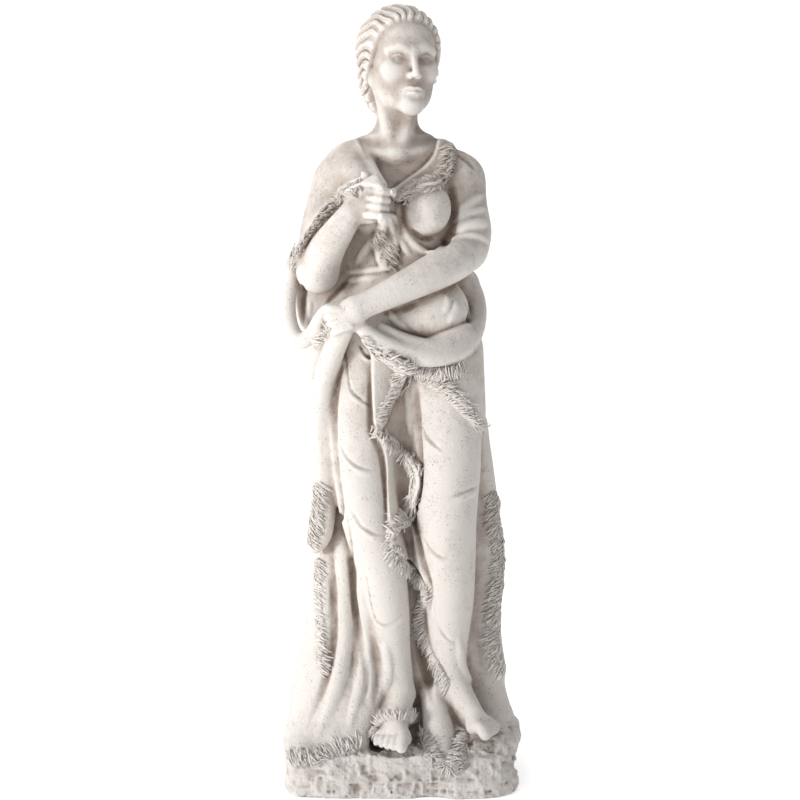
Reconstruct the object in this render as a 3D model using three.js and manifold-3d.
// Garden statue of a draped maiden on a rough stone block, cast in one piece.
// Millimetres, +Z up, the figure looks along -Y, the origin is the middle of the underside.
// The form is worked in clay: solids are blended together, folds are raised and cut on its
// surface, and the skin of the clay becomes one closed mesh.
import * as THREE from "three";
import { mergeVertices } from "three/addons/utils/BufferGeometryUtils.js";
import Module from "manifold-3d";

// Driving dimensions
const HEIGHT = 1560;
const TUFT = 22; // length of a scallop in a fringe
const FINGER = 8.4; // radius of a finger
const LOCKS = 27; // large locks of hair round the head
const BLOCK = { halfWidth: 232, front: 200, back: 192, top: 84 };
const GRID = 7; // spacing of the clay's sample points
const FINE = 4.8; // the same in the planes that pass through the head
const TRIANGLES = 9900; // of the finished mesh
const FAR = 400;
const PAD = 3 * GRID;

// Numbers
const clamp = (v, low, high) => Math.min(high, Math.max(low, v));
const ease = (t) => t * t * (3 - 2 * t);
const ramp = (v, low, high) => ease(clamp((v - low) / (high - low), 0, 1));
const turn = (degrees) => (degrees * Math.PI) / 180;

function blendMin(a, b, k) {
  const h = Math.max(k - Math.abs(a - b), 0) / k;
  return Math.min(a, b) - (h * h * k) / 4;
}

// Smooth noise from -1 to 1 whose lumps are about one unit across.
function noise(x, y, z) {
  const [i, j, k] = [Math.floor(x), Math.floor(y), Math.floor(z)];
  const [u, v, w] = [ease(x - i), ease(y - j), ease(z - k)];
  const at = (a, b, c) => {
    let h = Math.imul(i + a, 374761393) ^ Math.imul(j + b, 668265263) ^ Math.imul(k + c, 974711);
    h = Math.imul(h ^ (h >>> 13), 1274126177);
    return ((h ^ (h >>> 16)) >>> 0) / 2147483647.5 - 1;
  };
  const mix = (a, b, t) => a + (b - a) * t;
  const layer = (c) =>
    mix(mix(at(0, 0, c), at(1, 0, c), u), mix(at(0, 1, c), at(1, 1, c), u), v);
  return mix(layer(0), layer(1), w);
}

// A smooth curve through rows of numbers, each column on its own.
function smoothRows(rows, perSpan) {
  const at = (i) => rows[clamp(i, 0, rows.length - 1)];
  const out = [];
  for (let i = 0; i < rows.length - 1; i += 1) {
    const [a, b, c, d] = [at(i - 1), at(i), at(i + 1), at(i + 2)];
    for (let s = 0; s < perSpan; s += 1) {
      const t = s / perSpan;
      out.push(
        b.map(
          (v, n) =>
            v +
            0.5 * t * (c[n] - a[n]) +
            0.5 * t * t * (2 * a[n] - 5 * v + 4 * c[n] - d[n]) +
            0.5 * t * t * t * (3 * v - a[n] - 3 * c[n] + d[n]),
        ),
      );
    }
  }
  out.push(rows.at(-1));
  return out;
}

// The box of points, each grown by its own reach, as [low, high].
function boxOf(points, reach) {
  const low = [0, 1, 2].map((n) => Math.min(...points.map((p, i) => p[n] - reach(p, i))));
  const high = [0, 1, 2].map((n) => Math.max(...points.map((p, i) => p[n] + reach(p, i))));
  return [low, high];
}

// The pieces of a line through rows whose first three numbers are a point.
function segmentsOf(rows) {
  let along = 0;
  return rows.slice(1).map((b, i) => {
    const a = rows[i];
    const d = [b[0] - a[0], b[1] - a[1], b[2] - a[2]];
    const length = Math.hypot(...d);
    const piece = { a, b, d, length, along };
    along += length;
    return piece;
  });
}

// Shapes: a box, and the distance from a point to the surface, negative inside

// A tapering limb through [x, y, z, radius] rows.
function limb(points, perSpan = 4) {
  const rows = smoothRows(points, perSpan);
  const pieces = segmentsOf(rows);
  return {
    box: boxOf(rows, (p) => p[3]),
    distance(x, y, z) {
      let best = FAR;
      for (const { a, b, d, length } of pieces) {
        const [px, py, pz] = [x - a[0], y - a[1], z - a[2]];
        const t = clamp((px * d[0] + py * d[1] + pz * d[2]) / (length * length + 1e-9), 0, 1);
        const gap = Math.hypot(px - t * d[0], py - t * d[1], pz - t * d[2]);
        best = Math.min(best, gap - a[3] - t * (b[3] - a[3]));
      }
      return best;
    },
  };
}

// An ellipsoid; its axes are turned by yaw about Z after pitch about X and roll about Y.
function ball(centre, radii, [yaw, pitch, roll] = [0, 0, 0]) {
  const order = new THREE.Euler(turn(pitch), turn(roll), turn(yaw), "ZXY");
  const inverse = new THREE.Matrix4().makeRotationFromEuler(order).transpose().elements;
  const reach = Math.max(...radii);
  return {
    box: boxOf([centre], () => reach),
    distance(x, y, z) {
      const [px, py, pz] = [x - centre[0], y - centre[1], z - centre[2]];
      const q = [0, 1, 2].map((n) => inverse[n] * px + inverse[4 + n] * py + inverse[8 + n] * pz);
      const near = Math.hypot(q[0] / radii[0], q[1] / radii[1], q[2] / radii[2]);
      const slope = Math.hypot(q[0] / radii[0] ** 2, q[1] / radii[1] ** 2, q[2] / radii[2] ** 2);
      return slope < 1e-9 ? -reach : (near * (near - 1)) / slope;
    },
  };
}

// An upright column through [z, centre x, centre y, half width, front depth, back depth] rows.
// power 2 gives an oval section and 6 a block with round corners.
function column(sections, power = 2.2, perSpan = 6) {
  const rows = smoothRows(sections, perSpan);
  const [bottom, top] = [rows[0][0], rows.at(-1)[0]];
  const widest = Math.max(...rows.map((r) => Math.max(r[3], r[4], r[5])));
  const points = rows.map((r) => [r[1], r[2], r[0]]);
  return {
    box: boxOf(points, () => widest).map((p, i) => [p[0], p[1], i ? top : bottom]),
    distance(x, y, z) {
      let i = 0;
      while (i < rows.length - 2 && rows[i + 1][0] < z) i += 1;
      const [a, b] = [rows[i], rows[i + 1]];
      const t = clamp((z - a[0]) / (b[0] - a[0]), 0, 1);
      const [cx, cy, wide, front, back] = [1, 2, 3, 4, 5].map((n) => a[n] + t * (b[n] - a[n]));
      const [dx, dy] = [Math.abs(x - cx), Math.abs(y - cy)];
      const deep = y < cy ? front : back;
      const q = Math.pow((dx / wide) ** power + (dy / deep) ** power, 1 / power) + 1e-6;
      const slope = Math.hypot(
        Math.pow(dx / wide / q, power - 1) / wide,
        Math.pow(dy / deep / q, power - 1) / deep,
      );
      return Math.max((q - 1) / Math.max(slope, 1e-4), bottom - z, z - top);
    },
  };
}

// The clay: steps that each change the distance field inside a box
class Clay {
  steps = [];

  step([low, high], reach, apply) {
    const grow = reach + PAD;
    this.steps.push({ low: low.map((v) => v - grow), high: high.map((v) => v + grow), apply });
  }

  add(shape, blend) {
    this.step(shape.box, blend, (d, x, y, z) => blendMin(d, shape.distance(x, y, z), blend));
  }

  cut(shape, blend) {
    this.step(shape.box, blend, (d, x, y, z) => -blendMin(-d, shape.distance(x, y, z), blend));
  }

  // Raises a rounded ridge of that height along a line on the surface, or cuts a groove
  // where the height is negative. It fades out at both ends. With a tuft length its edge
  // is scalloped by that length.
  ridge(path, width, height, tuft = 0) {
    const pieces = segmentsOf(path);
    const total = pieces.at(-1).along + pieces.at(-1).length;
    const fade = Math.min(total / 2, 1.5 * width);
    this.step(boxOf(path, () => width), 0, (d, x, y, z) => {
      let near = width;
      let along = 0;
      for (const p of pieces) {
        const [px, py, pz] = [x - p.a[0], y - p.a[1], z - p.a[2]];
        const dot = px * p.d[0] + py * p.d[1] + pz * p.d[2];
        const t = clamp(dot / (p.length * p.length + 1e-9), 0, 1);
        const gap = Math.hypot(px - t * p.d[0], py - t * p.d[1], pz - t * p.d[2]);
        if (gap < near) [near, along] = [gap, p.along + t * p.length];
      }
      const wave = tuft ? Math.cos((2 * Math.PI * along) / tuft) : 0;
      const reach = width * (1 - 0.14 * (1 - wave));
      if (near >= (tuft ? reach : width)) return d;
      const end = ramp(Math.min(along, total - along), -0.2 * fade, fade);
      const across = near / (tuft ? reach : width);
      return d - height * (1 + 0.3 * wave) * end * (1 - across ** 2) ** (tuft ? 1 : 2);
    });
  }

  // Thickens the front of the clay inside an outline of [x, z] points, as a layer of cloth
  // does, with an edge that rises over the given distance. It stops at the depth behind.
  layer(outline, thickness, edge, behind) {
    const corners = outline.map(([x, z]) => [x, 0, z]);
    const [low, high] = boxOf(corners, () => edge);
    const shape = new Outline(outline);
    const box = [
      [low[0], -FAR, low[2]],
      [high[0], behind, high[2]],
    ];
    this.step(box, 0, (d, x, y, z) => {
      const inside = ramp(shape.depth(x, z), -edge / 2, edge / 2);
      return d - thickness * inside * (1 - ramp(y, behind - 40, behind));
    });
  }

  // The whole field's value at a point.
  at(x, y, z) {
    let d = FAR;
    for (const { low, high, apply } of this.steps) {
      const outside =
        x < low[0] || x > high[0] || y < low[1] || y > high[1] || z < low[2] || z > high[2];
      if (!outside) d = apply(d, x, y, z);
    }
    return d;
  }

  // Where a straight line from a point along a direction first meets the clay.
  hit(from, along, reach) {
    const stride = 4;
    for (let s = 0; s < reach; s += stride) {
      const at = (t) => from.map((v, n) => v + t * along[n]);
      if (this.at(...at(s)) < 0) {
        let [near, far] = [s - stride, s];
        for (let i = 0; i < 6; i += 1) {
          const middle = (near + far) / 2;
          if (this.at(...at(middle)) < 0) far = middle;
          else near = middle;
        }
        return at(far);
      }
    }
    return null;
  }

  // A smooth line laid on the front of the clay through [x, z] points.
  onFront(points, perSpan = 4) {
    return smoothRows(points, perSpan)
      .map(([x, z]) => this.hit([x, -FAR, z], [0, 1, 0], 2 * FAR))
      .filter(Boolean);
  }

  // A smooth line laid on the outside through [degrees, z] points: 0 is the front, 90 the
  // figure's left side, 180 the back.
  around(points, perSpan = 4) {
    return smoothRows(points, perSpan)
      .map(([degrees, z]) => {
        const [sine, cosine] = [Math.sin(turn(degrees)), Math.cos(turn(degrees))];
        return this.hit([FAR * sine, 20 - FAR * cosine, z], [-sine, cosine, 0], FAR);
      })
      .filter(Boolean);
  }
}

// A closed outline in x and z, and how far inside it a point is.
class Outline {
  constructor(points) {
    this.points = smoothRows([...points, points[0]], 3);
  }

  depth(x, z) {
    let gap = Infinity;
    let inside = false;
    for (let i = 1; i < this.points.length; i += 1) {
      const [[ax, az], [bx, bz]] = [this.points[i - 1], this.points[i]];
      const [dx, dz] = [bx - ax, bz - az];
      const t = clamp(((x - ax) * dx + (z - az) * dz) / (dx * dx + dz * dz + 1e-9), 0, 1);
      gap = Math.min(gap, Math.hypot(x - ax - t * dx, z - az - t * dz));
      if (az > z !== bz > z && x < ax + ((z - az) / (bz - az)) * dx) inside = !inside;
    }
    return inside ? gap : -gap;
  }
}

// The figure

function carveBlock(clay) {
  const { halfWidth, front, back, top } = BLOCK;
  clay.add(
    column(
      [
        [-40, 0, 0, halfWidth + 2, front, back],
        [0, 0, 0, halfWidth, front, back],
        [40, 0, 0, halfWidth - 3, front - 2, back],
        [top, 2, 0, halfWidth - 8, front - 10, back - 6],
      ],
      7,
    ),
    10,
  );
  clay.add(ball([-120, 70, 70], [95, 110, 58]), 40);
  clay.add(ball([150, -20, 74], [92, 120, 52]), 40);
  clay.add(ball([196, 20, 88], [50, 100, 36]), 20);
  const box = [
    [-260, -230, -40],
    [270, 230, 130],
  ];
  clay.step(box, 0, (d, x, y, z) => {
    const lumps = 7 * noise(x / 62, y / 62, z / 46) + 4 * noise(x / 27 + 9, y / 27, z / 22);
    const chips = 6 * Math.abs(noise(x / 17 + 3, y / 19, z / 13));
    return d - (lumps - chips) * (1 - ramp(z, 96, 126));
  });
}

function buildBody(clay) {
  // Skirts, hips and torso in one, down to the train behind the legs
  clay.add(
    column([
      [40, 4, 10, 212, 128, 130],
      [100, 8, 20, 204, 92, 126],
      [160, 16, 28, 190, 80, 118],
      [230, 22, 30, 176, 74, 110],
      [360, 18, 28, 178, 72, 106],
      [470, 16, 26, 182, 74, 106],
      [560, 10, 22, 180, 78, 106],
      [670, -4, 16, 170, 86, 106],
      [770, -12, 10, 164, 92, 104],
      [860, -6, 4, 156, 98, 100],
      [920, 2, -2, 142, 100, 94],
      [970, 6, -4, 120, 96, 88],
      [1020, 4, -2, 106, 90, 84],
      [1090, 2, 2, 112, 90, 84],
      [1160, -2, 6, 122, 88, 84],
      [1220, -4, 10, 112, 72, 74],
      [1262, -6, 12, 84, 52, 56],
      [1290, -6, 12, 58, 44, 48],
    ]),
    30,
  );
  clay.add(ball([60, -66, 945], [76, 56, 72]), 34);
  clay.add(ball([54, -84, 1150], [46, 46, 52]), 14);
  clay.add(ball([-52, -78, 1148], [46, 44, 50]), 22);
  const shoulders = [[-108, 6, 1202, 52], [-40, 14, 1260, 42], [40, 14, 1262, 42], [110, 6, 1207, 56]];
  clay.add(limb(shoulders), 30);
  // Neck, with the two cords that run down to the pit of the throat, and the collar bones
  clay.add(limb([[-8, 8, 1250, 49], [-7, 6, 1310, 42], [-4, 8, 1370, 41], [0, 14, 1420, 43]]), 30);
  clay.add(limb([[-40, -6, 1380, 8], [-28, -32, 1320, 8], [-14, -50, 1262, 8]]), 16);
  clay.add(limb([[34, -8, 1380, 8], [18, -34, 1320, 8], [0, -50, 1262, 8]]), 16);
  clay.add(limb([[-14, -50, 1256, 8], [-52, -40, 1264, 8], [-84, -18, 1270, 8]]), 16);
  clay.add(limb([[2, -50, 1256, 8], [40, -38, 1264, 8], [72, -16, 1270, 8]]), 16);
}

function buildLegs(clay) {
  // The right leg bears the weight on a straight shin
  clay.add(
    limb([
      [-74, -34, 860, 78],
      [-80, -52, 740, 70],
      [-78, -66, 640, 60],
      [-62, -80, 530, 53],
      [-38, -76, 440, 48],
      [-24, -70, 350, 43],
      [-14, -68, 270, 35],
      [0, -74, 185, 29],
    ]),
    24,
  );
  // The left leg, its knee forward
  clay.add(
    limb([
      [80, -34, 860, 80],
      [92, -52, 750, 72],
      [96, -64, 650, 66],
      [93, -76, 545, 60],
      [95, -70, 460, 56],
      [99, -60, 370, 49],
      [98, -52, 290, 40],
      [100, -50, 235, 33],
      [110, -52, 188, 28],
    ]),
    24,
  );
}

// One foot: heel, instep, ball and five toes, turned so that it points by that many degrees
// from straight ahead towards the figure's left.
function buildFoot(clay, ankle, heading, big) {
  const [sine, cosine] = [Math.sin(turn(heading)), Math.cos(turn(heading))];
  const at = (side, ahead, up, radius) => [
    ankle[0] + side * cosine + ahead * sine,
    ankle[1] + side * sine - ahead * cosine,
    ankle[2] + up,
    radius,
  ];
  clay.add(limb([at(0, 0, 0, 28), at(4 * big, 34, -30, 25), at(8 * big, 66, -50, 20)]), 14);
  clay.add(limb([at(-22 * big, 70, -66, 14), at(22 * big, 78, -62, 18)]), 14);
  clay.add(limb([at(0, -20, -50, 24), at(-4 * big, 40, -60, 20)]), 16);
  for (let toe = 0; toe < 5; toe += 1) {
    const side = big * (26 - toe * 13 + (toe ? 0 : 3));
    const reach = 114 - toe * toe * 1.3;
    const radius = toe ? 9 - toe * 0.5 : 12.5;
    const bend = at(side, 0.5 * (84 + reach), -62 - toe, radius);
    clay.add(limb([at(side, 80, -66, radius), bend, at(side, reach, -73, radius - 1)], 2), 4);
  }
}

function buildArms(clay) {
  // The right arm, raised to the breast
  const upper = [[-108, 6, 1202, 51], [-132, -10, 1142, 46], [-150, -44, 1075, 43], [-162, -76, 1026, 40]];
  const lower = [
    [-162, -80, 1026, 40],
    [-142, -110, 1070, 35],
    [-116, -132, 1108, 29],
    [-98, -140, 1132, 25],
  ];
  clay.add(limb(upper), 16);
  clay.add(limb(lower), 10);
  clay.add(ball([-70, -146, 1150], [40, 20, 30], [-14, 8, 24]), 12);
  for (let finger = 0; finger < 4; finger += 1) {
    const up = 1182 - finger * 15.5;
    const out = finger * 2.5;
    const rows = [
      [-56 - out, -162, up, FINGER],
      [-34 - out, -172, up - 2, FINGER],
      [-22 - out, -152, up - 4, FINGER - 1],
    ];
    clay.add(limb(rows, 3), 2.5);
  }
  clay.add(limb([[-92, -146, 1160, 11], [-70, -158, 1180, 10], [-46, -160, 1194, 9]]), 6);
  // The left arm, laid across the waist
  const sleeve = [[110, 6, 1207, 60], [122, -4, 1150, 54], [130, -18, 1106, 53], [130, -34, 1072, 46]];
  clay.add(limb(sleeve), 16);
  clay.add(
    limb([
      [128, -52, 1062, 38],
      [98, -92, 1042, 39],
      [48, -126, 1016, 35],
      [-10, -148, 988, 29],
      [-56, -158, 966, 25],
      [-84, -162, 954, 26],
    ]),
    8,
  );
  clay.add(ball([-98, -163, 942], [33, 19, 28], [10, 0, -24]), 12);
  for (let finger = 0; finger < 4; finger += 1) {
    const [x, z] = [-136 + 3.2 * finger ** 1.5, 955 - 14 * finger];
    const rows = [
      [-108 + 4 * finger, -172, 950 - 9 * finger, FINGER + 1],
      [x, -171, z, FINGER],
      [x - 7, -156, z - 4, FINGER - 0.6],
      [x + 3, -138, z - 8, FINGER - 1],
    ];
    clay.add(limb(rows, 3), 2.5);
  }
}

function buildHead(clay) {
  const centre = [2, 8, 1452];
  const [yaw, raise] = [18, -5];
  const frame = new THREE.Matrix4().makeRotationFromEuler(
    new THREE.Euler(turn(raise), 0, turn(yaw), "ZXY"),
  );
  const at = (x, y, z, ...rest) => {
    const p = new THREE.Vector3(x, y, z).applyMatrix4(frame);
    return [centre[0] + p.x, centre[1] + p.y, centre[2] + p.z, ...rest];
  };
  const both = (make) => [-1, 1].forEach(make);
  const mass = (x, y, z, radii, tilt = 0) => ball(at(x, y, z), radii, [yaw, raise + tilt, 0]);
  // Skull, forehead, cheeks and jaw
  clay.add(mass(0, 8, 18, [68, 84, 80]), 14);
  clay.add(mass(0, -26, -30, [58, 52, 62]), 24);
  clay.add(mass(0, -44, 30, [50, 38, 36]), 20);
  both((s) => {
    clay.add(limb([at(s * 43, 0, -50, 16), at(s * 32, -28, -84, 13), at(s * 10, -56, -102, 12)]), 26);
    clay.add(mass(s * 36, -58, -34, [19, 15, 17]), 22);
  });
  clay.add(mass(0, -63, -104, [17, 14, 13]), 18);
  // Eyes between their lids, under a level brow
  both((s) => {
    clay.cut(mass(s * 28, -88, -13, [19, 19, 13]), 10);
    clay.add(mass(s * 28, -62, -13, [13, 12, 11]), 3);
    clay.add(limb([at(s * 9, -79, 0, 5), at(s * 27, -79, 7, 4.5), at(s * 47, -64, 2, 4)]), 12);
    clay.add(limb([at(s * 14, -68, -15, 2), at(s * 29, -73, -6, 2.8), at(s * 45, -61, -15, 2)]), 3);
  });
  // Nose, and closed lips above a small hollow
  const bridge = [at(0, -76, 4, 6.5), at(0, -84, -20, 6), at(0, -93, -42, 7), at(0, -94, -47, 7)];
  clay.add(limb(bridge), 8);
  both((s) => clay.add(mass(s * 9.5, -83, -49, [6, 8, 6]), 4));
  clay.add(mass(0, -60, -76, [25, 17, 17]), 14);
  clay.add(limb([at(-20, -70, -77, 2.4), at(0, -81, -72.5, 3.8), at(20, -70, -77, 2.4)]), 4);
  clay.add(limb([at(-15, -72, -82, 2.8), at(0, -79, -84, 5), at(15, -72, -82, 2.8)]), 4);
  clay.cut(limb([at(-21, -74, -77.5, 1.6), at(0, -86, -78, 2), at(21, -74, -77.5, 1.6)]), 4);
  clay.cut(mass(0, -84, -93, [15, 7, 5]), 8);
  // Ears, half under the hair
  both((s) => clay.add(mass(s * 64, 2, -32, [9, 15, 24]), 5));
  // Hair, combed back from the face to a low knot: locks that spread from the hairline
  clay.add(mass(0, 22, 30, [76, 82, 72], -12), 14);
  clay.add(mass(0, 60, -34, [62, 48, 60]), 26);
  clay.add(mass(0, 96, -58, [38, 32, 36]), 14);
  const toHead = frame.clone().transpose();
  const line = [[0, 40], [40, 45], [70, 55], [90, 64], [112, 82], [140, 108], [180, 128]];
  const hairline = smoothRows(line, 6);
  const low = centre.map((v) => v - 140);
  const high = [centre[0] + 140, centre[1] + 170, centre[2] + 125];
  clay.step([low, high], 0, (d, x, y, z) => {
    const p = new THREE.Vector3(x - centre[0], y - centre[1], z - centre[2]).applyMatrix4(toHead);
    const around = (Math.atan2(p.x, p.z - 6) * 180) / Math.PI;
    const open = (Math.acos(clamp(-p.y / p.length(), -1, 1)) * 180) / Math.PI;
    const past = hairline.findLast(([side]) => side <= Math.abs(around));
    const hair = ramp(open, past[1] - 2, past[1] + 8) * (1 - ramp(-p.z, 92, 112));
    const stray = noise(p.x / 34, p.y / 34, p.z / 34);
    const wave = 1.1 * stray + 0.8 * Math.sin(open * 0.085 + 2 * turn(around));
    const lock = Math.sqrt(0.502 + 0.5 * Math.cos(turn(around) * LOCKS + wave * 2.2));
    const knot = 1 - ramp(open, 138, 165);
    return d - hair * (7.5 + knot * 4.6 * (lock - 0.6));
  });
}

// A fringed border: a raised band with one scallop for each tuft of threads.
function fringe(clay, path, width, high) {
  clay.ridge(path, width, high, TUFT);
}

function dressTunic(clay) {
  const fold = (line, width, high) => clay.ridge(clay.onFront(line), width, high);
  // Cloth over the left breast, gathered at the belt
  fold([[98, 1210], [104, 1160], [102, 1110], [84, 1072]], 16, -12);
  fold([[0, 1166], [-4, 1130], [12, 1098], [36, 1072], [58, 1062]], 11, 7);
  fold([[-10, 1126], [2, 1090], [20, 1058], [34, 1046]], 10, 6);
  fold([[18, 1112], [44, 1092], [70, 1092]], 9, -5);
  fold([[26, 1084], [50, 1066], [72, 1066]], 8, 4);
  // Ends of the cloth that hang from the fist
  clay.layer([[-36, 1136], [-6, 1136], [-2, 1096], [-12, 1036], [-40, 1036], [-52, 1086]], 7, 8, 0);
  fold([[-28, 1130], [-34, 1106], [-50, 1086]], 10, 9);
  fold([[-22, 1130], [-14, 1104], [-10, 1084]], 9, 8);
  fold([[-48, 1096], [-72, 1064], [-88, 1038]], 12, 7);
  fringe(clay, clay.onFront([[-16, 1080], [-24, 1056], [-28, 1038]]), 14, 4);
  fringe(clay, clay.onFront([[-34, 1108], [-46, 1094], [-58, 1088]]), 9, 4);
  // Sleeve pushed up above the left elbow
  for (const line of [
    [[104, 1154], [130, 1160], [178, 1158]],
    [[98, 1132], [118, 1142], [150, 1144], [186, 1126]],
    [[82, 1096], [114, 1120], [150, 1122], [182, 1100]],
    [[92, 1080], [120, 1098], [150, 1098], [172, 1082]],
  ])
    fold(line, 12, 7);
  fold([[110, 1262], [134, 1246], [150, 1228]], 10, -5);
  // Belt of two cords
  for (const up of [0, -16]) fold([[-110, 1024 + up], [-40, 1031 + up], [24, 1034 + up]], 8.5, 6);
  // Cloth over the belly
  fold([[84, 1004], [92, 976], [84, 948]], 9, 6);
  fold([[108, 984], [108, 953], [94, 926]], 10, 8);
  fold([[-24, 950], [-4, 926], [20, 908]], 10, 8);
  fold([[122, 990], [138, 950], [130, 920]], 14, -10);
  fold([[-40, 946], [10, 962], [50, 984]], 12, -6);
  // Collar with a fringed outer edge
  clay.layer(
    [
      [76, 1292], [66, 1258], [42, 1230], [12, 1208], [-18, 1182], [-4, 1164],
      [32, 1186], [70, 1194], [96, 1222], [110, 1262], [104, 1296],
    ],
    8, 7, 40,
  );
  fringe(clay, clay.onFront([[104, 1276], [96, 1232], [72, 1200], [40, 1192], [0, 1168]]), 14, 5);
}

function dressCape(clay) {
  // Cape over the right shoulder and the arm
  clay.add(
    limb([
      [-108, 16, 1199, 54],
      [-134, 8, 1136, 47],
      [-152, 0, 1066, 44],
      [-164, -4, 1000, 47],
      [-164, -8, 940, 45],
    ]),
    20,
  );
  clay.add(limb([[-90, -10, 1080, 40], [-110, -10, 1020, 44], [-116, -14, 950, 46]]), 24);
  clay.layer(
    [
      [-84, 1292], [-64, 1250], [-30, 1186], [-72, 1190], [-130, 1160], [-176, 1100],
      [-214, 1034], [-290, 950], [-290, 1180], [-180, 1300],
    ],
    9, 9, 140,
  );
  const drawn = [[-104, -6, 1248, 36], [-88, -52, 1220, 34], [-70, -98, 1190, 30], [-56, -124, 1170, 22]];
  const edge = [[-78, 2, 1288, 9], [-68, -38, 1258, 10], [-54, -78, 1226, 11], [-34, -126, 1192, 10]];
  const tip = [[-112, -84, 1184, 11], [-84, -124, 1196, 10], [-66, -142, 1206, 8], [-70, -136, 1214, 6]];
  clay.add(limb(drawn), 22);
  clay.add(limb(edge), 12);
  clay.add(limb(tip), 8);
  const border = [[-74, 1196], [-110, 1174], [-146, 1142], [-172, 1104], [-196, 1064], [-214, 1036]];
  fringe(clay, clay.onFront(border), 21, 6);
  // Pouch of cloth that hangs under the right elbow
  clay.add(
    limb([
      [-196, -30, 1062, 14],
      [-216, -46, 1010, 15],
      [-222, -58, 955, 15],
      [-214, -70, 910, 16],
      [-196, -82, 890, 17],
      [-174, -96, 902, 15],
      [-156, -118, 934, 13],
      [-143, -130, 956, 11],
      [-126, -136, 968, 8],
    ]),
    14,
  );
  clay.ridge(clay.onFront([[-190, 1000], [-196, 950], [-192, 912]]), 12, -9);
  clay.ridge(clay.onFront([[-178, 970], [-182, 930]]), 8, 7);
  clay.add(ball([-146, -96, 902], [26, 24, 34], [0, 0, -28]), 12);
  clay.ridge(clay.onFront([[-98, 1016], [-122, 988], [-148, 962]]), 8, -7);
  fringe(clay, clay.onFront([[-130, 918], [-150, 888], [-174, 860]]), 19, 6);
}

function dressMantle(clay) {
  // Cloth that falls from the left hand down the right thigh
  clay.add(
    limb([
      [-108, -144, 912, 18],
      [-134, -114, 860, 22],
      [-150, -88, 800, 22],
      [-156, -72, 720, 20],
      [-152, -62, 640, 20],
      [-150, -58, 560, 22],
      [-156, -58, 500, 20],
      [-170, -56, 474, 14],
    ]),
    14,
  );
  const outer = [[-158, -30, 860, 22], [-164, -30, 760, 20], [-162, -34, 640, 18], [-166, -40, 520, 16]];
  clay.add(limb(outer), 24);
  fringe(clay, clay.onFront([[-160, 610], [-165, 556], [-174, 504], [-176, 476]]), 18, 5);
  // Rolled edge of the mantle round the hips
  clay.add(
    limb([
      [-84, -150, 926, 14],
      [-42, -150, 893, 17],
      [10, -146, 868, 19],
      [58, -138, 860, 20],
      [108, -112, 868, 20],
      [140, -72, 896, 20],
      [152, -26, 932, 21],
      [150, 20, 968, 23],
      [134, 58, 1004, 26],
    ]),
    8,
  );
  clay.add(limb([[-38, -132, 918, 9], [20, -132, 890, 13], [74, -124, 880, 15], [124, -92, 900, 14]]), 16);
  clay.add(limb([[118, 34, 1040, 26], [122, 26, 980, 36], [130, 20, 920, 36]]), 16);
  // Hanging end under the roll, and the cloth between the thighs
  clay.layer(
    [[-56, 866], [16, 850], [2, 798], [-16, 768], [-28, 728], [-46, 712], [-54, 760]],
    14, 9, 0,
  );
  clay.layer(
    [[-47, 724], [-14, 678], [22, 660], [40, 626], [36, 586], [16, 540], [-14, 505], [-26, 574], [-30, 663]],
    10, 9, 0,
  );
  clay.layer(
    [[-26, 516], [-4, 470], [34, 432], [62, 396], [44, 452], [28, 520], [4, 536]],
    8, 8, 0,
  );
  // The cloth of the left thigh lies below the fringe that crosses it
  clay.layer(
    [[24, 850], [30, 830], [71, 812], [106, 790], [136, 758], [160, 722], [260, 640], [260, 900], [90, 850]],
    7, 8, 120,
  );
  fringe(clay, clay.onFront([[-76, 902], [-43, 872], [-4, 848], [30, 833], [72, 824], [128, 830]]), 15, 5);
  fringe(clay, clay.onFront([[8, 836], [-2, 798], [-20, 766], [-34, 728]]), 18, 5);
  fringe(clay, clay.onFront([[30, 822], [71, 806], [106, 782], [132, 754], [158, 716]]), 17, 6);
  fringe(
    clay,
    clay.onFront([[-47, 722], [-26, 693], [18, 656], [33, 623], [29, 586], [12, 544], [-16, 513]]),
    16, 6,
  );
  fringe(
    clay,
    clay.onFront([
      [-16, 513], [-12, 474], [18, 429], [52, 393], [46, 352],
      [44, 309], [58, 270], [76, 229], [94, 192],
    ]),
    15, 6,
  );
  // Free edge that hangs behind the left leg
  clay.add(
    limb([
      [160, 0, 720, 16],
      [174, 0, 610, 18],
      [184, 4, 500, 18],
      [188, 6, 400, 18],
      [184, 6, 300, 18],
      [194, 2, 214, 20],
    ]),
    20,
  );
  fringe(
    clay,
    clay.onFront([
      [168, 680], [182, 622], [192, 568], [190, 529], [200, 488], [203, 430],
      [198, 379], [191, 341], [193, 309], [188, 286], [196, 238], [210, 209],
    ]),
    19, 6,
  );
}

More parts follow.
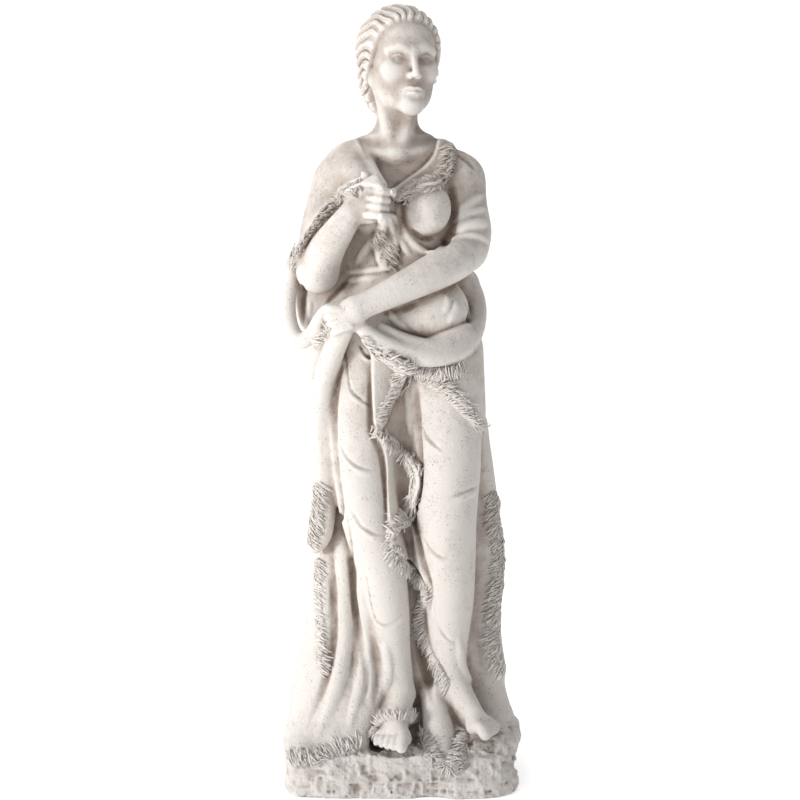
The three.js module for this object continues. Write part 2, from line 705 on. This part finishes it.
function dressSkirt(clay) {
  const groove = (line, width, depth) => clay.ridge(clay.onFront(line), width, -depth);
  const fold = (line, width, high) => clay.ridge(clay.onFront(line), width, high);
  // Long folds of the cloak beside the right leg, down to the floor
  fold([[-128, 560], [-118, 469], [-112, 367], [-112, 270], [-130, 190], [-160, 120]], 22, 14);
  fold([[-84, 470], [-78, 380], [-70, 300], [-76, 220], [-104, 120]], 16, 9);
  fold([[-156, 440], [-150, 340], [-150, 250]], 16, 8);
  groove([[-107, 562], [-97, 471], [-92, 369], [-80, 302], [-66, 234], [-70, 170]], 12, 12);
  groove([[-138, 470], [-132, 369], [-130, 300], [-146, 220], [-180, 130]], 12, 8);
  groove([[-52, 300], [-44, 230], [-50, 170]], 12, 10);
  fold([[-30, 290], [-22, 230], [-30, 190]], 12, 7);
  // Gaps beside the thighs and between the legs
  groove([[30, 828], [33, 769], [36, 719], [40, 633], [36, 575], [28, 522]], 12, 14);
  groove([[-56, 850], [-57, 770], [-54, 712], [-36, 660], [-28, 574], [-30, 516]], 10, 7);
  groove([[30, 540], [44, 460], [58, 400], [56, 340]], 12, 12);
  groove([[32, 290], [46, 235], [56, 200], [66, 168]], 12, 16);
  groove([[-108, 870], [-124, 800], [-130, 740], [-126, 640], [-116, 560], [-118, 500]], 12, 14);
  fold([[12, 806], [16, 760], [20, 700]], 10, 8);
  clay.cut(
    limb([
      [168, -64, 690, 5],
      [164, -56, 600, 10],
      [160, -46, 500, 12],
      [160, -40, 400, 12],
      [160, -36, 300, 11],
      [168, -34, 230, 9],
      [196, -40, 190, 5],
    ]),
    10,
  );
  // Fine curved folds where the cloth is drawn over thigh, knee and shin
  for (const line of [
    [[-107, 869], [-98, 800], [-79, 778], [-60, 762]],
    [[-82, 888], [-69, 864], [-47, 850]],
    [[-122, 698], [-104, 662], [-78, 642], [-50, 638]],
    [[-98, 563], [-78, 530], [-52, 512], [-30, 508]],
    [[-71, 453], [-62, 391], [-52, 344], [-32, 326], [-8, 332], [12, 352]],
    [[42, 722], [54, 698], [82, 676]],
    [[98, 584], [124, 592], [150, 602]],
    [[44, 507], [56, 482], [80, 464], [98, 462]],
    [[66, 356], [80, 312], [108, 285]],
  ])
    groove(line, 7, 6);
  fold([[118, 300], [126, 240], [146, 190]], 14, 8);
  fringe(clay, clay.onFront([[-164, 440], [-161, 349], [-156, 290], [-150, 240]]), 17, 4);
}

function dressGround(clay) {
  // The cloak spreads over the block at the right side and between the feet
  const train = [[-126, 0, 440, 40], [-136, -16, 300, 56], [-152, -44, 190, 62], [-168, -76, 110, 50]];
  clay.add(limb(train), 60);
  clay.add(limb([[-150, -60, 220, 30], [-174, -100, 130, 34], [-192, -128, 88, 24]]), 50);
  clay.add(limb([[-100, -40, 300, 30], [-112, -86, 180, 38], [-126, -136, 100, 24]]), 50);
  clay.add(limb([[-52, -56, 260, 26], [-68, -96, 170, 30], [-84, -134, 104, 20]]), 40);
  clay.add(limb([[160, 20, 440, 26], [166, 14, 300, 26], [180, 2, 200, 28], [200, -16, 132, 24]]), 34);
  clay.add(limb([[66, -60, 170, 24], [78, -110, 104, 30], [84, -150, 78, 22]]), 20);
  clay.add(ball([-18, -104, 136], [34, 40, 26]), 16);
}

function dressHem(clay) {
  const hem = (line, width, high) => fringe(clay, clay.onFront(line), width, high);
  hem([[-216, 66], [-195, 70], [-160, 78], [-132, 86], [-102, 92], [-74, 98]], 15, 6);
  hem([[-48, 118], [-38, 138], [-14, 148], [14, 144], [26, 120]], 10, 4);
  hem([[42, 104], [58, 84], [74, 70], [92, 54], [110, 62], [120, 84], [124, 112]], 13, 5);
}

function dressBack(clay) {
  // Upper edge of the mantle, from the left hip to the right shoulder
  clay.add(
    limb([
      [134, 58, 1004, 24],
      [92, 84, 1052, 18],
      [24, 92, 1116, 16],
      [-50, 84, 1184, 16],
      [-100, 56, 1236, 16],
      [-92, 20, 1268, 14],
    ]),
    12,
  );
  // Long folds that fan out from it to the floor
  const folds = 9;
  for (let n = 0; n < folds; n += 1) {
    const from = 128 + 10 * n;
    const to = 104 + 19 * n;
    const top = 960 + 24 * n;
    const sway = 6 * Math.sin(2.3 * n);
    const line = [
      [from, top],
      [from + 0.3 * (to - from) + sway, 0.75 * top + 40],
      [from + 0.7 * (to - from) - sway, 0.45 * top + 60],
      [to, 150],
    ];
    clay.ridge(clay.around(line, 4), 26 + 5 * Math.sin(3.1 * n), 15 + 5 * Math.cos(2 * n));
  }
  // Folds of the tunic between the shoulder blades
  for (let n = 0; n < 4; n += 1) {
    const line = [[150 + 9 * n, 1240], [142 + 11 * n, 1180], [136 + 10 * n, 1100 + 12 * n]];
    clay.ridge(clay.around(line, 4), 15, 6);
  }
}

// Turns the clay into a mesh

// The planes of the grid along one axis, closer between two places.
function planes(low, high, fineLow, fineHigh) {
  const out = [];
  for (let v = low; v < high; v += v > fineLow && v < fineHigh ? FINE : GRID) out.push(v);
  return [...out, high];
}

// The field on a grid of points, and the planes that the points lie on.
function sample(clay) {
  const lines = [
    planes(-270, 280, -96, 90),
    planes(-240, 210, -96, 130),
    planes(-56, HEIGHT + 14, 1330, HEIGHT),
  ];
  const count = lines.map((line) => line.length);
  const field = new Float32Array(count[0] * count[1] * count[2]).fill(FAR);
  const [xs, ys, zs] = lines;
  for (const { low, high, apply } of clay.steps) {
    const from = lines.map((line, n) => line.filter((v) => v < low[n]).length);
    const to = lines.map((line, n) => line.filter((v) => v <= high[n]).length);
    for (let k = from[2]; k < to[2]; k += 1)
      for (let j = from[1]; j < to[1]; j += 1)
        for (let i = from[0]; i < to[0]; i += 1) {
          const n = i + count[0] * (j + count[1] * k);
          field[n] = apply(field[n], xs[i], ys[j], zs[k]);
        }
  }
  return { field, count, lines };
}

// The surface where the field is zero. Each cube of the grid is six tetrahedra, and each
// tetrahedron that the surface passes gives one or two triangles.
function skin({ field, count, lines }) {
  const [nx, ny] = count;
  const offset = [0, 1, 1 + nx, nx, nx * ny, 1 + nx * ny, 1 + nx + nx * ny, nx + nx * ny];
  const tetrahedra = [
    [0, 5, 1, 6],
    [0, 1, 2, 6],
    [0, 2, 3, 6],
    [0, 3, 7, 6],
    [0, 7, 4, 6],
    [0, 4, 5, 6],
  ];
  const vertices = [];
  const triangles = [];
  const made = new Map();
  const place = (n) => [
    lines[0][n % nx],
    lines[1][Math.floor(n / nx) % ny],
    lines[2][Math.floor(n / (nx * ny))],
  ];

  function vertexOn(a, b) {
    const [p, q] = a < b ? [a, b] : [b, a];
    const key = p * field.length + q;
    let index = made.get(key);
    if (index === undefined) {
      const t = clamp(field[p] / (field[p] - field[q]), 0.04, 0.96);
      const [from, to] = [place(p), place(q)];
      index = vertices.length;
      vertices.push(from.map((v, n) => v + t * (to[n] - v)));
      made.set(key, index);
    }
    return index;
  }

  function cutTetrahedron(corner) {
    const inside = corner.filter((n) => field[n] < 0);
    const outside = corner.filter((n) => field[n] >= 0);
    if (!inside.length || !outside.length) return;
    let loops;
    if (inside.length === 2) {
      const [a, b] = inside;
      const [c, d] = outside;
      const ring = [vertexOn(a, c), vertexOn(a, d), vertexOn(b, d), vertexOn(b, c)];
      loops = [
        [ring[0], ring[1], ring[2]],
        [ring[0], ring[2], ring[3]],
      ];
    } else {
      const alone = inside.length === 1 ? inside[0] : outside[0];
      const others = inside.length === 1 ? outside : inside;
      loops = [others.map((n) => vertexOn(alone, n))];
    }
    const probe = place(inside[0]);
    for (const [a, b, c] of loops) {
      const [p, q, r] = [vertices[a], vertices[b], vertices[c]];
      const u = [q[0] - p[0], q[1] - p[1], q[2] - p[2]];
      const v = [r[0] - p[0], r[1] - p[1], r[2] - p[2]];
      const w = [probe[0] - p[0], probe[1] - p[1], probe[2] - p[2]];
      const side =
        (u[1] * v[2] - u[2] * v[1]) * w[0] +
        (u[2] * v[0] - u[0] * v[2]) * w[1] +
        (u[0] * v[1] - u[1] * v[0]) * w[2];
      triangles.push(side < 0 ? [a, b, c] : [a, c, b]);
    }
  }

  for (let k = 0; k < count[2] - 1; k += 1)
    for (let j = 0; j < ny - 1; j += 1)
      for (let i = 0; i < nx - 1; i += 1) {
        const first = i + nx * (j + ny * k);
        const corners = offset.map((o) => first + o);
        const below = corners.filter((n) => field[n] < 0).length;
        if (below > 0 && below < 8)
          for (const four of tetrahedra) cutTetrahedron(four.map((n) => corners[n]));
      }
  return { vertices, triangles };
}

// Joins short edges of a closed mesh, the least visible first, until few triangles are left.
// The error of a joined vertex is its squared distance to the planes of its old faces.
function simplify({ vertices, triangles }, target, weightAt) {
  const quadrics = vertices.map(() => new Float64Array(10));
  const around = vertices.map(() => new Set());
  const stamp = new Uint32Array(vertices.length);
  const heap = [];

  const cross = (p, q, r) => {
    const u = [q[0] - p[0], q[1] - p[1], q[2] - p[2]];
    const v = [r[0] - p[0], r[1] - p[1], r[2] - p[2]];
    return [u[1] * v[2] - u[2] * v[1], u[2] * v[0] - u[0] * v[2], u[0] * v[1] - u[1] * v[0]];
  };
  const error = (q, [x, y, z]) =>
    q[0] * x * x + 2 * q[1] * x * y + 2 * q[2] * x * z + 2 * q[3] * x +
    q[4] * y * y + 2 * q[5] * y * z + 2 * q[6] * y + q[7] * z * z + 2 * q[8] * z + q[9];

  triangles.forEach((corner, t) => {
    const [p, q, r] = corner.map((n) => vertices[n]);
    const normal = cross(p, q, r);
    const size = Math.hypot(...normal);
    corner.forEach((n) => around[n].add(t));
    if (size < 1e-9) return;
    const [a, b, c] = normal.map((v) => v / size);
    const d = -(a * p[0] + b * p[1] + c * p[2]);
    const weight = size * weightAt(p);
    const terms = [a * a, a * b, a * c, a * d, b * b, b * c, b * d, c * c, c * d, d * d];
    for (const n of corner) terms.forEach((v, i) => (quadrics[n][i] += v * weight));
  });

  // The place with the least error for the vertex that two vertices become.
  function best(a, b) {
    const q = quadrics[a].map((v, i) => v + quadrics[b][i]);
    const middle = vertices[a].map((v, n) => (v + vertices[b][n]) / 2);
    const [m, n, o, p, r, s] = [q[0], q[1], q[2], q[4], q[5], q[7]];
    const determinant = m * (p * s - r * r) - n * (n * s - r * o) + o * (n * r - p * o);
    const choices = [vertices[a], vertices[b], middle];
    if (Math.abs(determinant) > 1e-3 * (m + p + s) ** 3 / 27) {
      const solved = [
        -(q[3] * (p * s - r * r) - n * (q[6] * s - r * q[8]) + o * (q[6] * r - p * q[8])) / determinant,
        -(m * (q[6] * s - r * q[8]) - q[3] * (n * s - r * o) + o * (n * q[8] - q[6] * o)) / determinant,
        -(m * (p * q[8] - q[6] * r) - n * (n * q[8] - q[6] * o) + q[3] * (n * r - p * o)) / determinant,
      ];
      const reach = Math.hypot(...vertices[a].map((v, i) => v - vertices[b][i]));
      if (Math.hypot(...solved.map((v, i) => v - middle[i])) < 2 * reach) choices.push(solved);
    }
    const costs = choices.map((v) => error(q, v));
    const least = costs.indexOf(Math.min(...costs));
    return { cost: Math.max(costs[least], 0), at: choices[least], quadric: q };
  }

  function push(item) {
    heap.push(item);
    let i = heap.length - 1;
    while (i > 0) {
      const up = (i - 1) >> 1;
      if (heap[up].cost <= heap[i].cost) break;
      [heap[up], heap[i]] = [heap[i], heap[up]];
      i = up;
    }
  }

  function pop() {
    const top = heap[0];
    const last = heap.pop();
    if (heap.length) {
      heap[0] = last;
      let i = 0;
      for (;;) {
        const left = 2 * i + 1;
        const small = left + 1 < heap.length && heap[left + 1].cost < heap[left].cost ? left + 1 : left;
        if (small >= heap.length || heap[i].cost <= heap[small].cost) break;
        [heap[small], heap[i]] = [heap[i], heap[small]];
        i = small;
      }
    }
    return top;
  }

  const offer = (a, b) => push({ ...best(a, b), a, b, stampA: stamp[a], stampB: stamp[b] });
  const neighbours = (n) => {
    const found = new Set();
    for (const t of around[n]) for (const v of triangles[t]) if (v !== n) found.add(v);
    return found;
  };
  vertices.forEach((_, a) => neighbours(a).forEach((b) => a < b && offer(a, b)));

  const flips = (n, other, to) => {
    for (const t of around[n]) {
      const corner = triangles[t];
      if (corner.includes(other)) continue;
      const before = cross(...corner.map((v) => vertices[v]));
      const after = cross(...corner.map((v) => (v === n ? to : vertices[v])));
      const dot = before[0] * after[0] + before[1] * after[1] + before[2] * after[2];
      if (dot < 0.3 * Math.hypot(...before) * Math.hypot(...after)) return true;
    }
    return false;
  };

  let left = triangles.length;
  while (left > target && heap.length) {
    const { a, b, at, quadric, stampA, stampB } = pop();
    if (stamp[a] !== stampA || stamp[b] !== stampB) continue;
    const near = neighbours(b);
    const shared = [...neighbours(a)].filter((n) => near.has(n)).length;
    if (shared !== 2 || flips(a, b, at) || flips(b, a, at)) continue;
    for (const t of around[b]) {
      if (triangles[t].includes(a)) {
        triangles[t].forEach((v) => v !== b && around[v].delete(t));
        triangles[t] = null;
        left -= 1;
      } else {
        triangles[t] = triangles[t].map((v) => (v === b ? a : v));
        around[a].add(t);
      }
    }
    around[b].clear();
    vertices[a] = at;
    quadrics[a] = quadric;
    stamp[a] += 1;
    stamp[b] = 0xffffffff;
    for (const n of neighbours(a)) offer(a, n);
  }
  return { vertices, triangles: triangles.filter(Boolean) };
}

// A three.js geometry from corner places and triangles, without unused vertices.
function geometryOf({ vertices, triangles }) {
  const soup = new THREE.BufferGeometry();
  const places = triangles.flatMap((corner) => corner.flatMap((n) => vertices[n]));
  soup.setAttribute("position", new THREE.Float32BufferAttribute(places, 3));
  return mergeVertices(soup, 1e-3);
}

const wasm = await Module();
wasm.setup();

function solidOf(geometry) {
  const vertProperties = new Float32Array(geometry.attributes.position.array);
  const triVerts = new Uint32Array(geometry.index.array);
  return new wasm.Manifold(new wasm.Mesh({ numProp: 3, vertProperties, triVerts }));
}

// Everything below the floor is sawn off, which leaves the flat underside.
function sawFlat(geometry) {
  const saw = new THREE.BoxGeometry(2 * HEIGHT, 2 * HEIGHT, HEIGHT).translate(0, 0, -HEIGHT / 2);
  saw.deleteAttribute("normal");
  saw.deleteAttribute("uv");
  const mesh = solidOf(geometry).subtract(solidOf(mergeVertices(saw))).getMesh();
  const made = new THREE.BufferGeometry();
  made.setAttribute("position", new THREE.Float32BufferAttribute(mesh.vertProperties, 3));
  made.setIndex(new THREE.Uint32BufferAttribute(mesh.triVerts, 1));
  return made;
}

const clay = new Clay();
carveBlock(clay);
buildBody(clay);
buildLegs(clay);
dressGround(clay);
buildFoot(clay, [0, -82, 176], -13, 1);
buildFoot(clay, [112, -54, 190], 42, -1);
buildArms(clay);
buildHead(clay);
dressCape(clay);
dressTunic(clay);
dressSkirt(clay);
dressMantle(clay);
dressHem(clay);
dressBack(clay);

const detail = ([, , z]) => (z > 1330 ? 6 : 1);
const figure = sawFlat(geometryOf(simplify(skin(sample(clay)), TRIANGLES, detail)));
figure.computeBoundingBox();
const { min, max } = figure.boundingBox;
figure.translate(-(min.x + max.x) / 2, -(min.y + max.y) / 2, 0);
figure.scale(1, 1, HEIGHT / max.z);

const stone = new THREE.MeshStandardMaterial({ color: 0xd8cfc2, roughness: 0.85, metalness: 0 });
const statue = new THREE.Mesh(figure, stone);
statue.name = "maiden_statue";

const root = new THREE.Group();
root.add(statue);
export default root;
